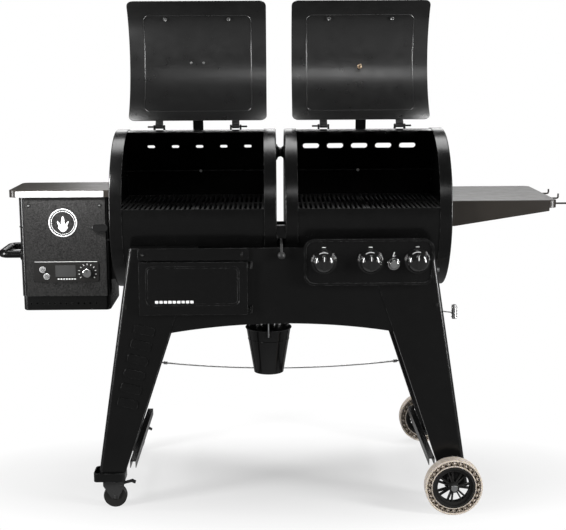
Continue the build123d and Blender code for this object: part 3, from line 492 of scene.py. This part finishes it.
for side, body in ((-1, "smoker_lid"), (1, "gas_lid")):
    attach(lid_bead(body + "_bead", side, 0.188, -42.5, 32.5, 0.022), body, "lid_paint")
    spots = [(side * LID_MIDDLE + x, 30) for x in (-0.111, 0.111)]
    if side < 0:
        spots += [(-0.311, -3.5), (-0.267, -3.5)]
    heads = []
    for x, angle in spots:
        at = on_lid(x, angle, LID_INSIDE - 0.0055 if angle > 0 else LID_INSIDE - 0.001)
        heads.append(screw(at, on_lid(x, angle, 0.1) - on_lid(x, angle), 0.007 if angle > 0 else 0.0045))
    attach(joined(body + "_screws", heads), body, "steel")
print("lid", [round(v, 3) for v in lid_low], [round(v, 3) for v in lid_high])

# %% Thermometer face on the back of the gas lid
DIAL_ANGLE, DIAL_OUT = -7.0, 0.2891
face_at = on_lid(LID_MIDDLE, DIAL_ANGLE, DIAL_OUT)
out = (face_at - on_lid(LID_MIDDLE, DIAL_ANGLE, 0)).normalized()
attach(bar("thermometer_face", face_at - out * 0.001, face_at + out * 0.0006, 0.033, 48, 0.01),
       "gas_lid", "white_print")
pivot = face_at + out * 0.0016
marks = [bar("needle", pivot, pivot + Vector((0.018, 0, 0.014)), 0.0011, 8)]
marks.append(bar("hub", face_at, face_at + out * 0.003, 0.004, 16))
rise = Vector((1, 0, 0)).cross(out)
for step in range(11):
    turn = math.radians(-40 + step * 26)
    spoke = Vector((math.cos(turn), 0, 0)) + rise * math.sin(turn)
    foot = face_at + out * 0.001
    marks.append(bar("mark", foot + spoke * 0.024, foot + spoke * 0.030, 0.0008, 8))
attach(joined("thermometer_marks", marks), "gas_lid", "gloss_black")
attach(ring("thermometer_bezel", face_at, out, 0.0355, 0.0026), "gas_lid", "chrome")

# %% [markdown]
# ## Hopper
# A bright metal strip along the front edge of the hopper's lid stands for the light reflected
# on its rolled edge: a painted highlight. The hopper's panel carries a printed badge, here a
# plain flame in a ring, and the controller: a screen, two buttons and a dial inside a ring of
# tick marks.

# %% Lid strip, latch and badge
hopper_low, hopper_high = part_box("hopper_lid")
# painted highlight: a bright strip set where the lid's rolled front edge reflects light
highlight_strip_low = (hopper_low.x + 0.024, hopper_low.y - 0.0022, hopper_low.z + 0.0015)
highlight_strip_high = (hopper_high.x - 0.015, hopper_low.y + 0.0002, hopper_high.z - 0.0025)
attach(plate("hopper_lid_highlight_strip", highlight_strip_low, highlight_strip_high, 0.003, 0.0008), "hopper_lid", "bright_trim")

panel_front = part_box("hopper_front_panel")[0].y
attach(plate("hopper_latch", (-0.634, panel_front - 0.010, 0.911),
             (-0.580, panel_front - 0.0002, 0.937), 0.012, 0.003),
       "cart", "gloss_black")

BADGE_X, BADGE_Z, BADGE_R = -0.732, 0.941, 0.046
badge_y = panel_front - 0.0004
parts = [ring("badge_ring", (BADGE_X, badge_y, BADGE_Z), FRONT, BADGE_R, 0.0022),
         ring("badge_line", (BADGE_X, badge_y, BADGE_Z), FRONT, BADGE_R - 0.007, 0.0009)]
for scale, lean in ((1.0, 0.0), (0.62, 0.5), (0.62, -0.5)):
    tongue = fresh("flame", bpy.ops.mesh.primitive_uv_sphere_add, segments=24, ring_count=14, radius=1)
    bpy.ops.object.mode_set(mode="EDIT")
    pick("verts", lambda v: v.co.z > 0.1)
    bpy.ops.transform.resize(value=(0.45, 1, 1.6), center_override=(0, 0, 0.1))
    bpy.ops.object.mode_set(mode="OBJECT")
    tongue.scale = (0.015 * scale, 0.0011, 0.021 * scale)
    tongue.rotation_euler = (0, lean, 0)
    tongue.location = (BADGE_X + 0.019 * math.sin(lean), badge_y, BADGE_Z - 0.010 - 0.004 * abs(lean))
    bpy.ops.object.transform_apply(location=True, rotation=True, scale=True)
    bpy.ops.object.shade_smooth()
    parts.append(tongue)
attach(joined("hopper_badge", parts), "cart", "white_print")

# %% Controller
plate_low, plate_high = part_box("control_panel")
face = plate_low.y
screen_low = (-0.763, face - 0.0010, 0.757)
attach(plate("controller_screen", screen_low, (-0.694, face + 0.0002, 0.797), 0.0025, 0.0004),
       "cart", "screen_glass")
dial_low, dial_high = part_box("dial_knob")
dial = (dial_low + dial_high) / 2
DIAL_TICKS, TICK_FROM, TICK_STEP, TICK_RADIUS = 11, 215, 25, 0.0285
printed = [plate("top_line", (plate_low.x + 0.004, face - 0.0004, plate_high.z - 0.003),
                 (plate_high.x - 0.004, face + 0.0001, plate_high.z - 0.0014), 0.0006, 0.0001)]
for step in range(DIAL_TICKS):
    turn = math.radians(TICK_FROM - step * TICK_STEP)
    spoke = Vector((math.cos(turn), 0, math.sin(turn)))
    centre = Vector((dial.x, face, dial.z)) + spoke * TICK_RADIUS
    printed.append(bar("tick", centre - spoke * 0.0028, centre + spoke * 0.0028, 0.0013, 8))
for step in range(7):
    x = -0.756 + step * 0.0092
    printed.append(plate("dash", (x, face - 0.0004, 0.7475), (x + 0.0062, face + 0.0001, 0.7515),
                         0.001, 0.0001))
for name in ("power_button", "prime_button"):
    low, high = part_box(name)
    middle = (low + high) / 2
    printed.append(ring("collar", (middle.x, face - 0.0002, middle.z), FRONT, 0.0098, 0.0009, 32, 8))
attach(joined("controller_print", printed), "cart", "white_print")
for name in ("power_button", "prime_button"):
    low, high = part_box(name)
    middle = (low + high) / 2
    sign = ring("sign", (middle.x, low.y - 0.0001, middle.z), FRONT, 0.0040, 0.0005, 24, 8)
    stroke = bar("stroke", (middle.x, low.y - 0.0001, middle.z),
                 (middle.x, low.y - 0.0001, middle.z + 0.005), 0.0006, 8)
    attach(joined(name + "_sign", [sign, stroke]), name, "gloss_black")
attach(bar("dial_pointer", (dial.x, dial_low.y - 0.0002, dial.z + 0.003),
           (dial.x, dial_low.y - 0.0002, dial.z + 0.013),
           0.0012, 8), "dial_knob", "gloss_black")
print("controller at", round(dial.x, 3), round(dial.z, 3))

# %% [markdown]
# ## Front of the stand
# A folded header closes the gap above the storage door, and the caster leg carries a column
# of raised pads, pressed into the sheet. The pads follow the middle of the sloping leg.

# %% Header, door dashes and leg pads
door_low, door_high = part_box("storage_door")
leg_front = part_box("leg_front_right")[0].y
attach(plate("door_header", (door_low.x - 0.004, leg_front - 0.006, door_high.z + 0.0025),
             (-0.106, leg_front + 0.0005, door_high.z + 0.043), 0.012, 0.0026), "cart", "black_paint")
DASHES, DASH_FIRST, DASH_PITCH = 9, -0.409, 0.0142
dashes = []
for step in range(DASHES):
    x = DASH_FIRST + step * DASH_PITCH
    dashes.append(plate("dash", (x, door_low.y - 0.0008, 0.7045),
                        (x + 0.0108, door_low.y + 0.0003, 0.7135), 0.0018, 0.0003))
attach(joined("door_dashes", dashes), "storage_door", "white_print")

# an edge of the leg: x at a height, that height, and the gain in x per metre down
LEG_OUTER, LEG_INNER = (0.500, 0.840, 0.156), (0.315, 0.750, 0.334)


def leg_x(line, z):
    x, at_z, slope = line
    return x + slope * (at_z - z)


PADS, PAD_TOP, PAD_PITCH, PAD_LEAN = 6, 0.612, 0.049, 0.24
pads = []
for step in range(PADS):
    z = PAD_TOP - step * PAD_PITCH
    x = -(leg_x(LEG_OUTER, z) + leg_x(LEG_INNER, z)) / 2
    pad = plate("pad", (-0.034, -0.0036, -0.0150), (0.034, 0.0012, 0.0150), 0.0085, 0.0022)
    pad.rotation_euler = (0, PAD_LEAN, 0)
    pad.location = (x, leg_front - 0.0002, z)
    bpy.ops.object.transform_apply(location=True, rotation=True, scale=True)
    pads.append(pad)
attach(joined("leg_pads", pads), "cart", "black_paint")

# %% Screw heads on the stand and the hopper
heads = [screw((x, leg_front - 0.0072, 0.862), FRONT, 0.0055) for x in (-0.448, -0.128)]
heads += [screw((x, panel_front - 0.0012, 1.000), FRONT, 0.0056) for x in (-0.845, -0.608)]
heads += [screw((x, leg_front - 0.001, 0.69), FRONT, 0.006) for x in (0.505, -0.508)]
attach(joined("panel_screws", heads), "cart", "gloss_black")

# %% [markdown]
# ## Gas controls
# The burner knobs are glossy domes. A short white mark shows where each one points, a tick
# on the bezel shows off, and the igniter sits in a bright ring under a small flame sign.

# %% Marks round the knobs and the igniter
bezel_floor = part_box("gas_bezel")[0].y + 0.004
KNOB_COLLAR, IGNITER_RING = 0.0392, 0.0175
ticks = []
for name in ("left", "middle", "right"):
    low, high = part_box("burner_knob_" + name)
    middle = (low + high) / 2
    attach(plate("knob_mark_" + name, (middle.x - 0.0012, low.y - 0.0004, middle.z + 0.006),
                 (middle.x + 0.0012, low.y + 0.0006, middle.z + 0.021), 0.0011, 0.0002),
           "burner_knob_" + name, "white_print")
    attach(ring("knob_collar_" + name, (middle.x, bezel_floor - 0.0020, middle.z), FRONT,
                KNOB_COLLAR, 0.0016, 56),
           "cart", "gloss_black")
    ticks.append(bar("tick", (middle.x - 0.006, bezel_floor, high.z + 0.007),
                     (middle.x + 0.006, bezel_floor, high.z + 0.007), 0.0011, 8))
low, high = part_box("igniter_button")
middle = (low + high) / 2
corner = (middle.x - 0.003, bezel_floor, high.z + 0.010)
for across_by, up_by, thick in ((0.002, 0.024, 0.0012), (0.005, 0.012, 0.0010)):
    ticks.append(bar("sign", corner, (middle.x + across_by, bezel_floor, high.z + up_by), thick, 8))
attach(joined("bezel_print", ticks), "cart", "white_print")
attach(ring("igniter_ring", (middle.x, bezel_floor - 0.0015, middle.z), FRONT, IGNITER_RING, 0.0028),
       "cart", "chrome")

# %% [markdown]
# ## Wheels
# Each big wheel has a milky tyre moulded as two rings with a zigzag web between them, so
# the light comes through the cells. The rings are turned, and one web bar is copied round.

# %% Honeycomb tyres
def turned_ring(name, centre, inner, outer, half, edge):
    """A flat ring on the wheel's axis: a cylinder with its middle bridged away."""
    piece = fresh(name, bpy.ops.mesh.primitive_cylinder_add, vertices=96, radius=outer, depth=half * 2,
                  rotation=(math.pi / 2, 0, 0))
    bpy.ops.object.mode_set(mode="EDIT")
    pick("faces", lambda f: abs(f.normal.y) > 0.9)
    bpy.ops.mesh.inset(thickness=outer - inner, use_individual=True)
    bpy.ops.mesh.delete(type="ONLY_FACE")
    pick("edges", lambda e: e.is_boundary)
    bpy.ops.mesh.bridge_edge_loops()
    bpy.ops.mesh.select_all(action="SELECT")
    bpy.ops.mesh.normals_make_consistent(inside=False)
    bpy.ops.object.mode_set(mode="OBJECT")
    rounded_edges(edge)
    piece.location = centre
    bpy.ops.object.transform_apply(location=True, rotation=True, scale=True)
    return piece


CELLS = 26
for place in ("front", "rear"):
    low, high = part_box("wheel_tyre_" + place)
    hub = (low + high) / 2
    outer, half = (high.z - low.z) / 2, (high.y - low.y) / 2
    hub_r = (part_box("wheel_hub_" + place)[1].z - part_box("wheel_hub_" + place)[0].z) / 2
    web_in, web_out = hub_r + 0.0035, outer - 0.0055
    rings = [turned_ring("tread", hub, web_out - 0.0005, outer, half, 0.0016),
             turned_ring("bead", hub, hub_r + 0.0002, web_in + 0.0005, half - 0.001, 0.0008),
             turned_ring("core", hub, web_in, web_out, half * 0.35, 0.0004)]
    blocks = []
    for step in range(CELLS):
        turn = 2 * math.pi * (step + 0.5) / CELLS
        spoke = Vector((math.cos(turn), 0, math.sin(turn)))
        for side in (-1, 1):
            spot = hub + spoke * (web_in + web_out) / 2 + Vector((0, side * half * 0.55, 0))
            block = fresh("cell", bpy.ops.mesh.primitive_ico_sphere_add, subdivisions=2, radius=1,
                          location=spot, rotation=(0, -turn, 0), scale=(0.0062, half * 0.36, 0.0052))
            bpy.ops.object.shade_smooth()
            blocks.append(block)
    attach(joined("tyre_" + place, rings + blocks), "big_wheel_" + place, "tyre", "wheel_tyre_" + place)
    webs = []
    for step in range(CELLS * 2):
        a, b = (2 * math.pi * (step + k) / (CELLS * 2) for k in (0, 1))
        r_a, r_b = (web_in, web_out) if step % 2 else (web_out, web_in)
        start, end = (hub + Vector((r * math.cos(t), 0, r * math.sin(t))) for r, t in ((r_a, a), (r_b, b)))
        along = (end - start).normalized()
        web = fresh("web", bpy.ops.mesh.primitive_cube_add, size=1, location=(start + end) / 2,
                    rotation=(0, -math.atan2(along.z, along.x), 0),
                    scale=((end - start).length, half * 1.86, 0.0021))
        webs.append(web)
    piece = joined("tyre_web_" + place, webs)
    rounded_edges(0.0004, 1)
    attach(piece, "big_wheel_" + place, "tyre_web")
    face_y = low.y if place == "front" else high.y
    outward = -1 if place == "front" else 1
    cap = bar("hub_cap_" + place, (hub.x, face_y + outward * 0.0006, hub.z),
              (hub.x, face_y + outward * 0.0020, hub.z), 0.0155, 32, 0.05)
    attach(cap, "big_wheel_" + place, "black_plastic")
print("tyre cells:", CELLS)

# %% [markdown]
# ## Match holder and bucket
# The wire holder on the right leg is wound like a spring. The bucket's front ear has a small
# plate.

# %% Match coil and bucket clip
coil_low, coil_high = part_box("match_holder")
coil = Vector((coil_high.x - 0.0085, (coil_low.y + coil_high.y) / 2, coil_low.z))
COIL_PITCH, COIL_AXIS = 0.0105, Vector((0.05, 0, 1))
turns = [ring("turn", coil + Vector((0, 0, 0.006 + COIL_PITCH * step)), COIL_AXIS, 0.0086, 0.0016, 24)
         for step in range(4)]
attach(joined("coil_turns", turns), "cart", "chrome")
pail_low, pail_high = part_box("grease_bucket")
pail = (pail_low + pail_high) / 2
rim = (pail_high.x - pail_low.x) / 2
attach(plate("bucket_clip", (pail.x - 0.011, pail.y - rim + 0.0004, pail_high.z - 0.027),
             (pail.x + 0.011, pail.y - rim + 0.0024, pail_high.z - 0.003), 0.003, 0.0006),
       "grease_bucket", "bucket_enamel")

# %% [markdown]
# ## Floor and light
# The cooker stands on a pale seamless floor that glows, darkened under the cooker by a painted
# shadow. Black paint shows only what it mirrors, so the studio is kept dim for reflections and a
# few large soft lamps draw the highlights.

# %% Floor
bpy.ops.object.select_all(action="DESELECT")
bpy.ops.mesh.primitive_plane_add(size=24, location=(0, 0, 0))
floor = bpy.context.object
floor.name = "floor"
sweep_paint = Finish("floor_paint", roughness=0.9)
tone = sweep_paint.noise(2.0)
sweep_paint.feed(base_color=sweep_paint.mix(tone, grey(0.80), grey(0.83)))
PAINTED_SHADOW_SHAPE = (0.9, 2.1, 1)      # the painted shadow under the cooker is wider than it is deep
reach = sweep_paint.node("VectorMath", {"operation": "LENGTH"}, {0: sweep_paint.place}, "Value")
squeeze = sweep_paint.node("VectorMath", {"operation": "MULTIPLY"},
                           {0: sweep_paint.place, 1: PAINTED_SHADOW_SHAPE}, "Vector")
painted_shadow_reach = sweep_paint.node("VectorMath", {"operation": "LENGTH"}, {0: squeeze}, "Value")
fade = sweep_paint.sharpen(reach * 0.25, 0.12, 0.25) * 0.26 + 0.74
shown = sweep_paint.node("LightPath", {}, {}, "Is Camera Ray")
# painted shadow: the floor's glow is dimmed in an oval under the cooker
level = (sweep_paint.sharpen(painted_shadow_reach * 0.5, 0.10, 0.56) * 0.36 + 0.64) * (shown * 0.80 + 0.20)
glow_with_painted_shadow = sweep_paint.node("Emission", {}, {"Color": grey(1.0), "Strength": level}, "Emission")
body = Wire(sweep_paint, sweep_paint.shader.outputs[0])
blended = sweep_paint.node("MixShader", {}, {0: fade, 1: body, 2: glow_with_painted_shadow})
sweep_paint.tree.links.new(blended.socket, sweep_paint.tree.nodes["Material Output"].inputs["Surface"])
floor.data.materials.append(sweep_paint.material)

# %% Lamps and studio
# place, aim, width, height and power in watts
LAMPS = {
    "overhead": ((0, 0.9, 3.7), (0, 0.3, 0.9), 3.4, 1.4, 110),
    "left_strip": ((-3.4, -1.9, 1.5), (-0.2, 0, 0.9), 0.7, 2.4, 190),
    "right_strip": ((3.4, -1.9, 1.5), (0.2, 0, 0.9), 0.7, 2.4, 230),
    "front_fill": ((0.6, -4.4, 3.4), (0, 0, 0.7), 1.6, 0.7, 18),
    "rear_rim": ((0.35, 3.2, 2.3), (0.2, 0, 1.0), 3.2, 1.0, 32),
    "low_left": ((-2.2, -3.2, 0.95), (0.3, -0.3, 0.84), 0.30, 0.45, 9),
    "low_right": ((2.6, -3.2, 0.95), (0.3, -0.3, 0.84), 0.30, 0.45, 9),
    "hopper_kick": ((-0.74, -0.29, 1.17), (-0.73, -0.12, 1.00), 0.30, 0.04, 2.6),
}
for name, (spot, aim, wide, tall, power) in LAMPS.items():
    lamp = bpy.data.lights.new(name, "AREA")
    lamp.shape, lamp.size, lamp.size_y, lamp.energy = "RECTANGLE", wide, tall, power
    holder = bpy.data.objects.new(name, lamp)
    holder.location = spot
    holder.rotation_euler = (Vector(aim) - Vector(spot)).to_track_quat("-Z", "Y").to_euler()
    bpy.context.scene.collection.objects.link(holder)

world = bpy.context.scene.world or bpy.data.worlds.new("studio")
bpy.context.scene.world = world
world.use_nodes = True
sky = world.node_tree
for item in list(sky.nodes):
    sky.nodes.remove(item)
seen, bounced = sky.nodes.new("ShaderNodeBackground"), sky.nodes.new("ShaderNodeBackground")
seen.inputs["Strength"].default_value, bounced.inputs["Strength"].default_value = 1.0, 0.05
seen.inputs["Color"].default_value = bounced.inputs["Color"].default_value = (1, 1, 1, 1)
chooser, path = sky.nodes.new("ShaderNodeMixShader"), sky.nodes.new("ShaderNodeLightPath")
out = sky.nodes.new("ShaderNodeOutputWorld")
sky.links.new(path.outputs["Is Camera Ray"], chooser.inputs[0])
sky.links.new(bounced.outputs[0], chooser.inputs[1])
sky.links.new(seen.outputs[0], chooser.inputs[2])
sky.links.new(chooser.outputs[0], out.inputs["Surface"])
bpy.context.scene.view_settings.view_transform = "Standard"
print("lamps:", len(LAMPS))
